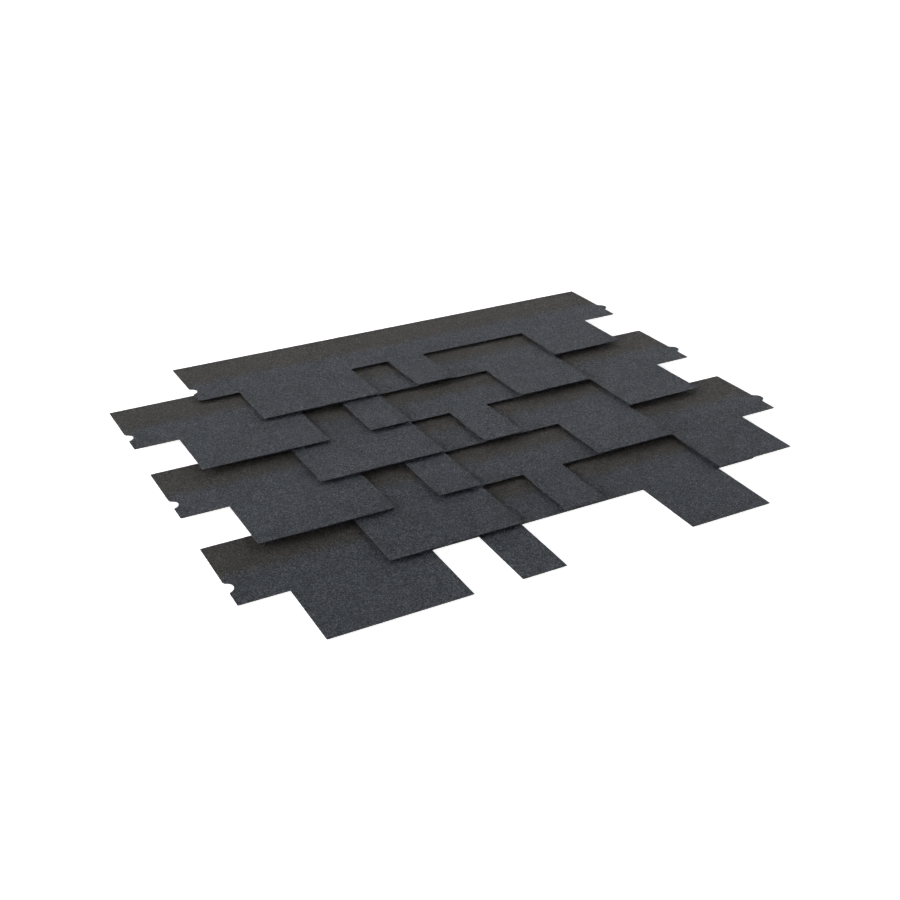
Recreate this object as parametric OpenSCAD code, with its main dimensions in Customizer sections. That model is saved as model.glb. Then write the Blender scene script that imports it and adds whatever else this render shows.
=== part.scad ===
/* [Strip] */
// Length of one shingle strip, from end to end without the nib
strip_len = 1000; // [800:5:1400]
// Width of one strip, from its top edge down to the butt of its tabs
strip_w = 317; // [250:1:420]
// Thickness of the sheet with its granules
sheet_t = 3.2; // [2:0.1:6]

/* [Tabs] */
// Length of the tabs, from the top of the cut-outs down to the butt
tab_len = 140; // [60:1:170]
// Width of the part cut-out at the left end
left_gap = 85; // [10:1:120]
// Width of the wide tab
wide_tab = 246; // [60:1:300]
// Width of the narrow cut-out
narrow_gap = 86; // [10:1:120]
// Width of the narrow tab
narrow_tab = 83; // [40:1:120]
// Width of the medium tab
medium_tab = 168; // [60:1:210]
// Width of the part cut-out at the right end
right_gap = 83; // [10:1:100]

/* [End nib and notch] */
// How far the nib stands out of the right end
nib_out = 12; // [6:0.5:16]
// Radius of the nib's rounded tip
nib_r = 14; // [8:0.5:20]
// Half width of the nib where it leaves the end
nib_root = 16; // [12:0.5:24]
// Height of the nib and the notch above the top of the cut-outs
nib_lift = 51.5; // [25:0.5:55]
// Room round the nib when two strips meet end to end
nib_room = 0.2; // [0:0.1:2]

/* [Courses] */
// Length of each strip that stays in view below the next one
exposure = 138; // [100:1:200]
// Sideways shift of every second strip
stagger = 170; // [0:1:300]
// Gap between a strip and the one it lies on
lap_gap = 0.3; // [0.1:0.1:1]

/* [Hidden] */
$fn = 96;
NODES = ["shingle_1", "shingle_2", "shingle_3", "shingle_4", "shingle_5", "shingle_6"];

COUNT = len(NODES);
SLATE = [0.20, 0.23, 0.26];
// Length by which a cutting or joining shape runs past the edge it crosses
SPARE = 5;

// Each strip lies one step higher than the one in front of it
step = sheet_t + lap_gap;
// Behind the front strip the others slope down to the floor at their top edges
slope = step / exposure;

// The wide cut-out takes the length that the tabs and the other cut-outs leave
wide_gap = strip_len - left_gap - wide_tab - narrow_gap - narrow_tab - medium_tab - right_gap;
// Left edge and width of each tab
narrow_x = left_gap + wide_tab + narrow_gap;
TABS = [
    [left_gap, wide_tab],
    [narrow_x, narrow_tab],
    [narrow_x + narrow_tab + wide_gap, medium_tab]
];
// Top of the cut-outs, measured from the top edge of the strip
shoulder_y = tab_len - strip_w;

// The origin is under the middle of the group, halfway from its leftmost end to its last
// nib and from its front butt to its last top edge
centre_x = (strip_len + nib_out + stagger) / 2;
centre_y = ((COUNT - 1) * exposure - strip_w) / 2;

// Corners of one tab, down its left edge and up its right one
function tab_corners(tab) = [
    [tab[0], shoulder_y],
    [tab[0], -strip_w],
    [tab[0] + tab[1], -strip_w],
    [tab[0] + tab[1], shoulder_y]
];

// Comb-shaped outline, with its top edge on the X axis and its tabs towards -Y
function comb_points() = concat(
    [[strip_len, 0], [0, 0], [0, shoulder_y]],
    [for (tab = TABS, corner = tab_corners(tab)) corner],
    [[strip_len, shoulder_y]]
);

// Round-tipped wedge that crosses the end of the strip at the Y axis; room makes it larger
module nib_shape(room) {
    wedge_tip = nib_out - 1;
    wedge_back = (nib_root + room) * (1 + SPARE / wedge_tip);
    union() {
        translate([nib_out - nib_r, 0])
            circle(r = nib_r + room);
        polygon([[wedge_tip, 0], [-SPARE, wedge_back], [-SPARE, -wedge_back]]);
    }
}

// One strip seen from above
module strip_outline() {
    difference() {
        union() {
            polygon(comb_points());
            translate([strip_len, shoulder_y + nib_lift])
                nib_shape(0);
        }
        translate([0, shoulder_y + nib_lift])
            nib_shape(nib_room);
    }
}

// Height of a strip's underside: level over the front strip, sloping down behind it
function underside(course, y) = course * step - slope * max(y, 0);

// Side view of a strip as it lies, bent where it passes the top edge of the front strip
module lie_profile(course) {
    back = course * exposure;
    front = back - strip_w;
    bends = front < 0 && back > 0 ? [front, 0, back] : [front, back];
    last = len(bends) - 1;
    polygon(concat(
        [for (y = bends) [y, underside(course, y)]],
        [for (i = [last:-1:0]) [bends[i], underside(course, bends[i]) + sheet_t]]
    ));
}

// One strip in its place in the group, the front one being course 0
module shingle(course) {
    shift = stagger * (course % 2);
    color(SLATE)
    translate([shift - centre_x, -centre_y, 0])
    intersection() {
        translate([0, course * exposure, -SPARE])
            linear_extrude(height = COUNT * step + 2 * SPARE)
                strip_outline();
        translate([-SPARE, 0, 0])
            rotate([90, 0, 90])
                linear_extrude(height = strip_len + nib_out + 2 * SPARE)
                    lie_profile(course);
    }
}

shingle(0);  // shingle_1
shingle(1);  // shingle_2
shingle(2);  // shingle_3
shingle(3);  // shingle_4
shingle(4);  // shingle_5
shingle(5);  // shingle_6
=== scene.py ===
"""Granule-faced asphalt shingle strips, lapped in six courses, with a plain studio round them."""

import math

import bpy
from bpy.props import FloatProperty, FloatVectorProperty, PointerProperty
from bpy.types import Operator, Panel, PropertyGroup
from mathutils import Euler, Matrix, Vector


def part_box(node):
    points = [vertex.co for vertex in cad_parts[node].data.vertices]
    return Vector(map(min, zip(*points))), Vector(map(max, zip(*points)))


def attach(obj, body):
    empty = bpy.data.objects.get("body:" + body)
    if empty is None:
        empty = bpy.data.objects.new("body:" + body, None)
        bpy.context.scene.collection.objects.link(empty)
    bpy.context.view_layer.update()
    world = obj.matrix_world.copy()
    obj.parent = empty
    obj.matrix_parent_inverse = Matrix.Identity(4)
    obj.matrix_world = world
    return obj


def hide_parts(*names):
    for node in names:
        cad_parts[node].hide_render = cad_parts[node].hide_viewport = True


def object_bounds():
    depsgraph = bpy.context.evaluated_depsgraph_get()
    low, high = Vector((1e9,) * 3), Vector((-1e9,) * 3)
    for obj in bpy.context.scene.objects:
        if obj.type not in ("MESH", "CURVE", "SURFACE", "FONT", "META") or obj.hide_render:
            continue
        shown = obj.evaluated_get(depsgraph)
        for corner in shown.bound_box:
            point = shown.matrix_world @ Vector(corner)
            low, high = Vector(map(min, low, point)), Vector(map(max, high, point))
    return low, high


bl_info = {
    "name": "Asphalt shingle strips",
    "version": (1, 0, 0),
    "blender": (4, 5, 0),
    "location": "3D View > Sidebar > Shingles",
    "description": "Lapped shingle strips with granules, cut edges and a sanded back",
    "category": "Object",
}

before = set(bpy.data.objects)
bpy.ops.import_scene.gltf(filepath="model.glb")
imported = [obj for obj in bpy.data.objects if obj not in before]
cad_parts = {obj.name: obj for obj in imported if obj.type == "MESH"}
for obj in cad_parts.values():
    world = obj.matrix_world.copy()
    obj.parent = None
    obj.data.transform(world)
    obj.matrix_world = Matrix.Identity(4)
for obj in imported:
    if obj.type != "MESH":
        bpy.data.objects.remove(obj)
CAD_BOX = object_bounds()

# The strips, from the front one to the rear one
NODES = sorted(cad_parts)
BODY = "root"

# Two points nearer than this are one point
SAME_POINT = 1e-6
# Faces that turn less than this are one flat face, in radians
FLAT_ANGLE = 1e-3
# A wall this long is straight, and the relief is spaced out from it
STRAIGHT_WALL = 0.03
# Cells narrower than this, at the nib and the notch, are merged into the next one
SLIVER = 0.0004
# Share of an edge's length that runs along an axis when it is square to the other one
SQUARE_ON = 0.999
# Heights of the unit normal past which a face looks up, or down
LOOKS_UP = 0.5
LOOKS_DOWN = -0.9
# An edge that turns more than this stays crisp
CRISP_ANGLE = math.radians(50)

# Share of the rim's wear that is uneven, small enough to leave the rim inside its edge
RIM_SHARE = 0.5
# How alike the granules' heights are, from 0 for chance to 1 for equal
RELIEF_EVENNESS = 0.4

# Sizes of the patterns in the materials, in metres
MOTTLE_SIZE = 0.03
HEADLAP_PATCH_SIZE = 0.014
GRANULE_HEIGHT = 0.0005
DRAG_SIZE = 0.004
DRAG_DEPTH = 0.0004
SAND_SIZE = 0.0006
SAND_HEIGHT = 0.0002
DUST_SIZE = 0.05
# Shares of a granule's width, in from its seam, where the bitumen ends and the crown begins
SEAM_END = 0.10
CROWN_START = 0.30

# Share of the ring's strength at the sine of each height
RING_HEIGHTS = [(0.00, 1.00), (0.08, 1.00), (0.14, 0.60), (0.30, 0.50), (0.36, 0.00)]
# Share of the ring's strength from the front, at 0, over the sides, at 0.5, to the back, at 1
RING_DEPTHS = [(0.25, 0.08), (0.42, 0.70), (0.68, 1.00), (0.88, 0.40), (1.00, 0.35)]

# Vertex groups of the relief
FIELD = "granule_field"
RIM = "granule_rim"
# Distance of a point below the top edge of its strip
BELOW_TOP = "below_top_edge"

# Material slots of a strip, after its face in slot 0
EDGE = 1
BACK = 2


class StripSettings(PropertyGroup):
    """Sizes and colours of the strips."""

    facet: FloatProperty(
        name="Facet",
        description="Spacing of the points of the granule relief",
        default=0.0019, min=0.0015, max=0.01, precision=4, unit="LENGTH",
    )
    relief: FloatProperty(
        name="Relief",
        description="How far a granule stands up from the mean of the face",
        default=0.00045, min=0.0, max=0.001, precision=5, unit="LENGTH",
    )
    granule_layer: FloatProperty(
        name="Granule layer",
        description="Depth of the granules that shows at a cut edge",
        default=0.0003, min=0.0002, max=0.002, precision=4, unit="LENGTH",
    )
    rim_wear: FloatProperty(
        name="Rim wear",
        description="How far the granules at an edge are rubbed back",
        default=0.0002, min=0.0, max=0.001, precision=4, unit="LENGTH",
    )
    undercut: FloatProperty(
        name="Undercut",
        description="How far the cut edge leans in below the granules",
        default=0.0025, min=0.0001, max=0.0028, precision=4, unit="LENGTH",
    )
    granule: FloatProperty(
        name="Granule",
        description="Mean size of a granule",
        default=0.0016, min=0.0005, max=0.004, precision=4, unit="LENGTH",
    )
    headlap: FloatProperty(
        name="Headlap",
        description="Width of the brown granules below the top edge of a strip",
        default=0.096, min=0.0, max=0.3, unit="LENGTH",
    )
    headlap_fade: FloatProperty(
        name="Headlap fade",
        description="Width over which the brown granules give way to the slate ones",
        default=0.034, min=0.001, max=0.1, unit="LENGTH",
    )


class StudioSettings(PropertyGroup):
    """Camera, light and floor."""

    aim: FloatVectorProperty(
        name="Aim",
        description="Point on the floor that the camera looks at",
        default=(-0.0702, -0.0729, 0.0), subtype="TRANSLATION", unit="LENGTH",
    )
    distance: FloatProperty(
        name="Distance",
        description="Distance of the camera from its aim",
        default=2.326, min=0.5, unit="LENGTH",
    )
    azimuth: FloatProperty(
        name="Azimuth",
        description="Turn of the camera's view from +Y towards +X",
        default=math.radians(28.65), subtype="ANGLE",
    )
    elevation: FloatProperty(
        name="Elevation",
        description="How far the camera looks down",
        default=math.radians(28.28), subtype="ANGLE",
    )
    roll: FloatProperty(
        name="Roll",
        description="Turn of the camera about its own axis",
        default=math.radians(0.49), subtype="ANGLE",
    )
    lens: FloatProperty(
        name="Lens",
        description="Focal length in millimetres on a 36 mm sensor",
        default=50.0, min=10.0,
    )
    key_azimuth: FloatProperty(
        name="Key azimuth",
        description="Direction of the soft light, from +Y towards +X",
        default=math.radians(45.0), subtype="ANGLE",
    )
    key_elevation: FloatProperty(
        name="Key elevation",
        description="Height of the soft light above the horizon",
        default=math.radians(16.0), subtype="ANGLE",
    )
    key_distance: FloatProperty(
        name="Key distance",
        description="Distance of the soft light from the strips",
        default=14.0, min=0.5, unit="LENGTH",
    )
    key_size: FloatProperty(
        name="Key size",
        description="Side of the square soft light",
        default=5.0, min=0.1, unit="LENGTH",
    )
    key_power: FloatProperty(
        name="Key power",
        description="Power of the soft light in watts",
        default=90.0, min=0.0,
    )
    ring: FloatProperty(
        name="Ring",
        description="Strength of the low white light round the sides and the back",
        default=29.5, min=0.0,
    )
    ring_right: FloatProperty(
        name="Ring at the right",
        description="Share of the ring's strength on the right, the left side having all",
        default=0.40, min=0.0, max=1.0,
    )
    floor_side: FloatProperty(
        name="Floor side",
        description="Side of the square floor",
        default=40.0, min=2.0, unit="LENGTH",
    )


# ---------------------------------------------------------------- selecting

def work_on(piece):
    """Makes a piece the only selected object and the active one."""
    bpy.ops.object.select_all(action="DESELECT")
    piece.select_set(True)
    bpy.context.view_layer.objects.active = piece


def select_faces(piece, test):
    """Selects, in edit mode, the faces whose centre and normal pass a test."""
    bpy.ops.mesh.select_mode(type="FACE")
    bpy.ops.mesh.select_all(action="DESELECT")
    bpy.ops.object.mode_set(mode="OBJECT")
    for face in piece.data.polygons:
        face.select = test(face.center, face.normal)
    bpy.ops.object.mode_set(mode="EDIT")


def select_points(piece, test):
    """Selects, in edit mode, the vertices whose place passes a test."""
    bpy.ops.mesh.select_mode(type="VERT")
    bpy.ops.mesh.select_all(action="DESELECT")
    bpy.ops.object.mode_set(mode="OBJECT")
    for point in piece.data.vertices:
        point.select = test(point.co)
    bpy.ops.object.mode_set(mode="EDIT")


def make_group(piece, name):
    """Puts the selected vertices into a new vertex group."""
    piece.vertex_groups.new(name=name)
    bpy.ops.object.vertex_group_assign()


def select_group(piece, name):
    """Selects only the vertices of a vertex group."""
    bpy.ops.mesh.select_mode(type="VERT")
    bpy.ops.mesh.select_all(action="DESELECT")
    piece.vertex_groups.active = piece.vertex_groups[name]
    bpy.ops.object.vertex_group_select()


# ---------------------------------------------------------------- shader nodes

def new_material(name):
    """A material with only its output and a Principled shader."""
    material = bpy.data.materials.new(name)
    material.use_nodes = True
    tree = material.node_tree
    tree.nodes.clear()
    shader = tree.nodes.new("ShaderNodeBsdfPrincipled")
    output = tree.nodes.new("ShaderNodeOutputMaterial")
    tree.links.new(shader.outputs["BSDF"], output.inputs["Surface"])
    return material, tree, shader


def link(tree, source, target):
    """Joins an output socket to an input socket."""
    tree.links.new(source, target)


def object_place(tree, stretch=(1.0, 1.0, 1.0)):
    """Place on the piece, in metres, with a stretch of each axis."""
    coordinates = tree.nodes.new("ShaderNodeTexCoord")
    mapping = tree.nodes.new("ShaderNodeMapping")
    mapping.inputs["Scale"].default_value = stretch
    link(tree, coordinates.outputs["Object"], mapping.inputs["Vector"])
    return mapping.outputs["Vector"]


def noise(tree, place, size, detail=2.0):
    """Soft noise whose patches are about as wide as size."""
    made = tree.nodes.new("ShaderNodeTexNoise")
    made.inputs["Scale"].default_value = 1 / size
    made.inputs["Detail"].default_value = detail
    link(tree, place, made.inputs["Vector"])
    return made.outputs["Fac"]


def cells(tree, place, size, feature):
    """Cells about as wide as size, as stones packed side by side."""
    made = tree.nodes.new("ShaderNodeTexVoronoi")
    made.feature = feature
    made.inputs["Scale"].default_value = 1 / size
    link(tree, place, made.inputs["Vector"])
    return made


def map_range(tree, value, low, high, to_low=0.0, to_high=1.0):
    """Carries low to to_low and high to to_high, and holds there past both ends."""
    made = tree.nodes.new("ShaderNodeMapRange")
    made.inputs["From Min"].default_value = low
    made.inputs["From Max"].default_value = high
    made.inputs["To Min"].default_value = to_low
    made.inputs["To Max"].default_value = to_high
    link(tree, value, made.inputs["Value"])
    return made.outputs["Result"]


def math_node(tree, operation, first, second):
    """A Math node. Each of its two values is a socket or a number."""
    made = tree.nodes.new("ShaderNodeMath")
    made.operation = operation
    for socket, value in zip(made.inputs, (first, second)):
        if isinstance(value, float):
            socket.default_value = value
        else:
            link(tree, value, socket)
    return made.outputs["Value"]


def palette(tree, value, stops):
    """A colour ramp from (place, colour) stops."""
    made = tree.nodes.new("ShaderNodeValToRGB")
    ramp = made.color_ramp
    while len(ramp.elements) < len(stops):
        ramp.elements.new(1.0)
    for element, (place, colour) in zip(ramp.elements, stops):
        element.position = place
        element.color = (*colour, 1.0)
    link(tree, value, made.inputs["Fac"])
    return made.outputs["Color"]


def share_curve(tree, value, stops):
    """A share worked out from a value by (place, share) stops."""
    return palette(tree, value, [(place, (share,) * 3) for place, share in stops])


def mix_colours(tree, share, first, second):
    """Goes from the first colour to the second as share goes from 0 to 1."""
    made = tree.nodes.new("ShaderNodeMix")
    made.data_type = "RGBA"
    # The node has a set of sockets for each kind of data, and these are the colour ones
    ends = [made.inputs[6], made.inputs[7]]
    link(tree, share, made.inputs[0])
    for socket, value in zip(ends, (first, second)):
        if isinstance(value, tuple):
            socket.default_value = (*value, 1.0)
        else:
            link(tree, value, socket)
    return made.outputs[2]


def bump(tree, shader, height, depth, strength):
    """Raises fine relief on a shader, as deep as depth where height is 1."""
    made = tree.nodes.new("ShaderNodeBump")
    made.inputs["Distance"].default_value = depth
    made.inputs["Strength"].default_value = strength
    link(tree, height, made.inputs["Height"])
    link(tree, made.outputs["Normal"], shader.inputs["Normal"])


# ---------------------------------------------------------------- materials

# Colours of single granules, from the darkest to the lightest. The headlap's come in
# reddish and olive patches.
SLATE_GRANULES = [
    (0.00, (0.008, 0.012, 0.020)),
    (0.28, (0.027, 0.035, 0.048)),
    (0.60, (0.067, 0.080, 0.101)),
    (0.85, (0.121, 0.137, 0.162)),
    (1.00, (0.178, 0.195, 0.220)),
]
REDDISH_GRANULES = [
    (0.00, (0.012, 0.009, 0.008)),
    (0.28, (0.036, 0.028, 0.026)),
    (0.60, (0.072, 0.058, 0.055)),
    (0.85, (0.108, 0.090, 0.085)),
    (1.00, (0.159, 0.137, 0.130)),
]
OLIVE_GRANULES = [
    (0.00, (0.008, 0.009, 0.007)),
    (0.28, (0.029, 0.028, 0.022)),
    (0.60, (0.057, 0.057, 0.046)),
    (0.85, (0.089, 0.089, 0.075)),
    (1.00, (0.135, 0.135, 0.117)),
]
BITUMEN = (0.010, 0.010, 0.011)


def granule_material(settings):
    """Coloured stone granules pressed into bitumen, brown above and slate below."""
    material, tree, shader = new_material("granules")
    place = object_place(tree)
    stones = cells(tree, place, settings.granule, "F1")
    seams = cells(tree, place, settings.granule, "DISTANCE_TO_EDGE")
    chance = tree.nodes.new("ShaderNodeSeparateColor")
    link(tree, stones.outputs["Color"], chance.inputs["Color"])

    below = tree.nodes.new("ShaderNodeAttribute")
    below.attribute_name = BELOW_TOP
    fade = settings.headlap_fade
    spread = map_range(tree, chance.outputs["Blue"], 0.0, 1.0, -fade / 2, fade / 2)
    reach = math_node(tree, "ADD", below.outputs["Fac"], spread)
    is_slate = math_node(tree, "GREATER_THAN", reach, settings.headlap)

    slate = palette(tree, chance.outputs["Red"], SLATE_GRANULES)
    reddish = palette(tree, chance.outputs["Red"], REDDISH_GRANULES)
    olive = palette(tree, chance.outputs["Red"], OLIVE_GRANULES)
    patch = map_range(tree, noise(tree, place, HEADLAP_PATCH_SIZE, 1.0), 0.33, 0.67)
    brown = mix_colours(tree, patch, reddish, olive)
    stone = mix_colours(tree, is_slate, brown, slate)

    mottle = tree.nodes.new("ShaderNodeHueSaturation")
    shade = noise(tree, place, MOTTLE_SIZE, 4.0)
    link(tree, map_range(tree, shade, 0.3, 0.7, 0.86, 1.14), mottle.inputs["Value"])
    link(tree, stone, mottle.inputs["Color"])

    seam = map_range(tree, seams.outputs["Distance"], 0.0, SEAM_END)
    colour = mix_colours(tree, seam, BITUMEN, mottle.outputs["Color"])
    link(tree, colour, shader.inputs["Base Color"])
    gloss = map_range(tree, chance.outputs["Green"], 0.0, 1.0, 0.65, 0.95)
    link(tree, gloss, shader.inputs["Roughness"])
    shader.inputs["Specular IOR Level"].default_value = 0.3

    crown = map_range(tree, seams.outputs["Distance"], 0.0, CROWN_START)
    stand = map_range(tree, chance.outputs["Green"], 0.0, 1.0, 0.4, 1.0)
    bump(tree, shader, math_node(tree, "MULTIPLY", crown, stand), GRANULE_HEIGHT, 0.8)
    return material


def cut_edge_material():
    """The sheet's cut edge: black bitumen round a thin mat, with drag marks along it."""
    material, tree, shader = new_material("cut_bitumen")
    place = object_place(tree, (1.0, 1.0, 6.0))
    drag = noise(tree, place, DRAG_SIZE, 4.0)
    colours = [
        (0.30, (0.006, 0.006, 0.006)),
        (0.55, (0.013, 0.013, 0.014)),
        (0.80, (0.028, 0.028, 0.030)),
    ]
    link(tree, palette(tree, drag, colours), shader.inputs["Base Color"])
    link(tree, map_range(tree, drag, 0.3, 0.7, 0.5, 0.8), shader.inputs["Roughness"])
    shader.inputs["Specular IOR Level"].default_value = 0.15
    bump(tree, shader, drag, DRAG_DEPTH, 0.7)
    return material


def sanded_back_material():
    """The back of the sheet: bitumen dusted with fine sand that keeps it from sticking."""
    material, tree, shader = new_material("sanded_back")
    place = object_place(tree)
    sand = cells(tree, place, SAND_SIZE, "F1")
    grain = tree.nodes.new("ShaderNodeSeparateColor")
    link(tree, sand.outputs["Color"], grain.inputs["Color"])
    colours = [
        (0.00, (0.010, 0.010, 0.010)),
        (0.70, (0.028, 0.027, 0.026)),
        (1.00, (0.120, 0.115, 0.105)),
    ]
    dust = tree.nodes.new("ShaderNodeHueSaturation")
    drift = noise(tree, place, DUST_SIZE, 3.0)
    link(tree, map_range(tree, drift, 0.3, 0.7, 0.8, 1.2), dust.inputs["Value"])
    link(tree, palette(tree, grain.outputs["Red"], colours), dust.inputs["Color"])
    link(tree, dust.outputs["Color"], shader.inputs["Base Color"])
    shader.inputs["Roughness"].default_value = 0.9
    shader.inputs["Specular IOR Level"].default_value = 0.3
    bump(tree, shader, grain.outputs["Red"], SAND_HEIGHT, 0.6)
    return material


# ---------------------------------------------------------------- one flat strip

def straight_walls(piece, axis):
    """Places along an axis where long straight walls stand across it, with the mesh's ends."""
    points = piece.data.vertices
    found = {round(point.co[axis], 6) for point in (
        min(points, key=lambda p: p.co[axis]),
        max(points, key=lambda p: p.co[axis]),
    )}
    for edge in piece.data.edges:
        start, end = (points[i].co for i in edge.vertices)
        along = end - start
        if along.length > STRAIGHT_WALL and abs(along[1 - axis]) > SQUARE_ON * along.length:
            found.add(round(start[axis], 6))
    return sorted(found)


def cuts_between(stations, facet):
    """The stations and even steps of about one facet between them, without the two ends."""
    places = []
    for start, end in zip(stations, stations[1:]):
        count = max(1, round((end - start) / facet))
        places += [start + (end - start) * i / count for i in range(count)]
    return places[1:]


def cut_across(axis, places):
    """Cuts all that shows with planes across an axis."""
    normal = [0.0, 0.0, 0.0]
    normal[axis] = 1.0
    for place in places:
        bpy.ops.mesh.select_all(action="SELECT")
        at = [0.0, 0.0, 0.0]
        at[axis] = place
        bpy.ops.mesh.bisect(plane_co=at, plane_no=normal)


def faces_down(centre, normal):
    return normal.z < LOOKS_DOWN


def flat_strip(settings, materials):
    """The front strip's sheet, with its top and its walls divided for the relief."""
    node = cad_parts[NODES[0]]
    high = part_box(NODES[0])[1]
    piece = bpy.data.objects.new("granule_strip_1", node.data.copy())
    bpy.context.scene.collection.objects.link(piece)
    piece.data.materials.clear()
    for material in materials:
        piece.data.materials.append(material)
    work_on(piece)
    bpy.ops.object.mode_set(mode="EDIT")
    bpy.ops.mesh.select_all(action="SELECT")
    bpy.ops.mesh.remove_doubles(threshold=SAME_POINT)
    bpy.ops.mesh.dissolve_limited(angle_limit=FLAT_ANGLE)
    bpy.ops.object.mode_set(mode="OBJECT")
    stations = [straight_walls(piece, axis) for axis in (0, 1)]
    bpy.ops.object.mode_set(mode="EDIT")
    select_faces(piece, faces_down)
    bpy.ops.mesh.region_to_loop()
    bpy.ops.mesh.bevel(offset=settings.undercut)

    # The back stays one plain face: hidden, it isn't cut
    select_faces(piece, faces_down)
    piece.active_material_index = BACK
    bpy.ops.object.material_slot_assign()
    bpy.ops.mesh.hide()
    for axis in (0, 1):
        cut_across(axis, cuts_between(stations[axis], settings.facet))
    layer_z = high.z - settings.granule_layer
    cut_across(2, [layer_z])
    select_faces(piece, lambda centre, normal: normal.z < LOOKS_UP and centre.z < layer_z)
    piece.active_material_index = EDGE
    bpy.ops.object.material_slot_assign()
    bpy.ops.mesh.reveal(select=False)
    bpy.ops.mesh.select_all(action="SELECT")
    bpy.ops.mesh.remove_doubles(threshold=SLIVER)

    # The field is the face inside its rim
    select_faces(piece, lambda centre, normal: normal.z > LOOKS_UP)
    bpy.ops.mesh.region_to_loop()
    bpy.ops.mesh.select_mode(type="VERT")
    make_group(piece, RIM)
    select_points(piece, lambda place: place.z > high.z - SAME_POINT)
    piece.vertex_groups.active = piece.vertex_groups[RIM]
    bpy.ops.object.vertex_group_deselect()
    make_group(piece, FIELD)
    bpy.ops.object.mode_set(mode="OBJECT")
    return piece


# ---------------------------------------------------------------- the courses

def place_strip(piece, name):
    """Moves a flat strip to its course and lets it down behind the front strip."""
    first_low, first_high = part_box(NODES[0])
    low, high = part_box(name)
    course = NODES.index(name)
    step, slope = course_step()
    bpy.ops.mesh.select_all(action="SELECT")
    bpy.ops.transform.translate(value=(low.x - first_low.x, high.y - first_high.y, course * step))
    if course:
        hinge = first_high.y
        # The back is one face, so it gets an edge along the bend
        select_faces(piece, faces_down)
        bpy.ops.mesh.bisect(plane_co=(0.0, hinge, 0.0), plane_no=(0.0, 1.0, 0.0))
        select_points(piece, lambda place: place.y > hinge)
        bpy.ops.transform.rotate(
            value=slope, orient_axis="X", center_override=(0.0, hinge, course * step)
        )


def course_step():
    """Height from one strip to the next, and the angle at which the rear strips slope down."""
    first_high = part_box(NODES[0])[1]
    second_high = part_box(NODES[1])[1]
    step = second_high.z - first_high.z
    exposure = second_high.y - first_high.y
    return step, math.atan(step / exposure)


def roughen(piece, settings, seed):
    """Raises the granule relief. All of it stays below the sheet's true top."""
    select_group(piece, RIM)
    bpy.ops.transform.shrink_fatten(value=-settings.rim_wear)
    bpy.ops.transform.vertex_random(offset=settings.rim_wear * RIM_SHARE, seed=seed)
    select_group(piece, FIELD)
    bpy.ops.transform.translate(value=(0.0, 0.0, -settings.relief))
    bpy.ops.transform.vertex_random(
        offset=settings.relief, uniform=RELIEF_EVENNESS, seed=seed
    )


def mark_below_top(piece, top_y):
    """Stores how far each point lies below the top edge of its strip."""
    marks = piece.data.attributes.new(BELOW_TOP, "FLOAT", "POINT")
    marks.data.foreach_set("value", [top_y - point.co.y for point in piece.data.vertices])


class SHINGLE_OT_strips(Operator):
    """Lay the six granule-faced strips, each over the one in front of it"""

    bl_idname = "shingle.strips"
    bl_label = "Lay the strips"

    def execute(self, context):
        settings = context.scene.shingle_strips
        materials = (granule_material(settings), cut_edge_material(), sanded_back_material())
        pieces = [flat_strip(settings, materials)]
        for number in range(2, len(NODES) + 1):
            work_on(pieces[0])
            bpy.ops.object.duplicate()
            pieces.append(context.object)
            context.object.name = f"granule_strip_{number}"
        for seed, (piece, name) in enumerate(zip(pieces, NODES)):
            work_on(piece)
            bpy.ops.object.mode_set(mode="EDIT")
            place_strip(piece, name)
            roughen(piece, settings, seed)
            bpy.ops.object.mode_set(mode="OBJECT")
            piece.vertex_groups.clear()
            bpy.ops.object.shade_smooth_by_angle(angle=CRISP_ANGLE)
            mark_below_top(piece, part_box(name)[1].y)
            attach(piece, BODY)
            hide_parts(name)
        return {"FINISHED"}


# ---------------------------------------------------------------- studio

# Width of the camera's sensor, in millimetres
SENSOR_WIDTH = 36.0
# Grey of the floor and the strength of its own glow
FLOOR_GREY = 0.9
FLOOR_GLOW = 0.9


def floor_material():
    """Smooth white floor that stays white under the strips' own shade."""
    material, tree, shader = new_material("white_floor")
    shader.inputs["Base Color"].default_value = (FLOOR_GREY,) * 3 + (1.0,)
    shader.inputs["Roughness"].default_value = 0.9
    shader.inputs["Emission Color"].default_value = (1.0, 1.0, 1.0, 1.0)
    shader.inputs["Emission Strength"].default_value = FLOOR_GLOW
    return material


def direction(azimuth, elevation):
    """Unit vector at an angle from +Y towards +X and at a height above the horizon."""
    return Vector((
        math.sin(azimuth) * math.cos(elevation),
        math.cos(azimuth) * math.cos(elevation),
        math.sin(elevation),
    ))


def ring_world(settings):
    """A low white ring of light round the sides and the back, with next to none in front."""
    world = bpy.data.worlds.new("studio_ring")
    world.use_nodes = True
    tree = world.node_tree
    toward = tree.nodes.new("ShaderNodeTexCoord")
    parts = tree.nodes.new("ShaderNodeSeparateXYZ")
    link(tree, toward.outputs["Generated"], parts.inputs["Vector"])
    height = share_curve(tree, parts.outputs["Z"], RING_HEIGHTS)
    depth = share_curve(tree, map_range(tree, parts.outputs["Y"], -1.0, 1.0), RING_DEPTHS)
    across = map_range(tree, parts.outputs["X"], -1.0, 1.0, 1.0, settings.ring_right)
    share = math_node(tree, "MULTIPLY", height, math_node(tree, "MULTIPLY", depth, across))
    strength = math_node(tree, "MULTIPLY", share, settings.ring)
    background = tree.nodes["Background"]
    background.inputs["Color"].default_value = (1.0, 1.0, 1.0, 1.0)
    link(tree, strength, background.inputs["Strength"])
    return world


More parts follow.
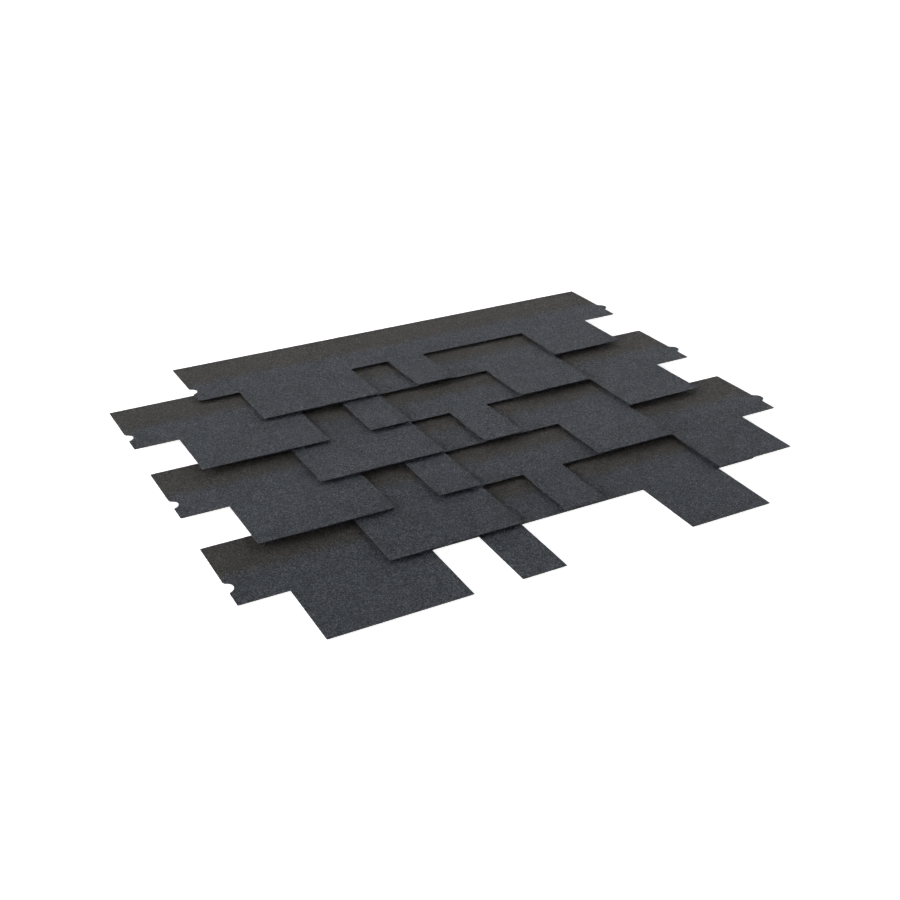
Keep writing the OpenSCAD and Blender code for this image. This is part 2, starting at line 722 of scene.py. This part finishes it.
class SHINGLE_OT_studio(Operator):
    """Set up the floor, the soft light and the camera"""

    bl_idname = "shingle.studio"
    bl_label = "Set up the studio"

    def execute(self, context):
        settings = context.scene.shingle_studio
        bpy.ops.object.select_all(action="DESELECT")
        floor_z = CAD_BOX[0].z - SAME_POINT
        bpy.ops.mesh.primitive_plane_add(size=settings.floor_side, location=(0.0, 0.0, floor_z))
        floor = context.object
        floor.name = "studio_floor"
        floor.data.materials.append(floor_material())

        context.scene.world = ring_world(settings)

        toward_key = direction(settings.key_azimuth, settings.key_elevation)
        bpy.ops.object.light_add(type="AREA", location=toward_key * settings.key_distance)
        key = context.object
        key.name = "soft_key"
        key.rotation_euler = toward_key.to_track_quat("Z", "Y").to_euler()
        key.data.size = settings.key_size
        key.data.energy = settings.key_power

        view = direction(settings.azimuth, -settings.elevation)
        bpy.ops.object.camera_add(location=Vector(settings.aim) - view * settings.distance)
        camera = context.object
        turn = Euler((math.pi / 2 - settings.elevation, 0.0, -settings.azimuth)).to_matrix()
        turn = turn @ Matrix.Rotation(settings.roll, 3, "Z")
        camera.rotation_euler = turn.to_euler()
        camera.data.lens = settings.lens
        camera.data.sensor_width = SENSOR_WIDTH
        context.scene.camera = camera
        context.scene.view_settings.view_transform = "Standard"
        return {"FINISHED"}


class SHINGLE_PT_panel(Panel):
    """The steps that make the strips and their studio"""

    bl_label = "Shingles"
    bl_idname = "SHINGLE_PT_panel"
    bl_space_type = "VIEW_3D"
    bl_region_type = "UI"
    bl_category = "Shingles"

    def draw(self, context):
        groups = (
            (context.scene.shingle_strips, SHINGLE_OT_strips),
            (context.scene.shingle_studio, SHINGLE_OT_studio),
        )
        for settings, operator in groups:
            box = self.layout.box()
            for name in settings.__annotations__:
                box.prop(settings, name)
            box.operator(operator.bl_idname)


CLASSES = (
    StripSettings,
    StudioSettings,
    SHINGLE_OT_strips,
    SHINGLE_OT_studio,
    SHINGLE_PT_panel,
)


def register():
    for item in CLASSES:
        bpy.utils.register_class(item)
    bpy.types.Scene.shingle_strips = PointerProperty(type=StripSettings)
    bpy.types.Scene.shingle_studio = PointerProperty(type=StudioSettings)


def unregister():
    del bpy.types.Scene.shingle_studio
    del bpy.types.Scene.shingle_strips
    for item in reversed(CLASSES):
        bpy.utils.unregister_class(item)


def main():
    register()
    bpy.ops.shingle.strips()
    bpy.ops.shingle.studio()


if __name__ == "__main__":
    main()
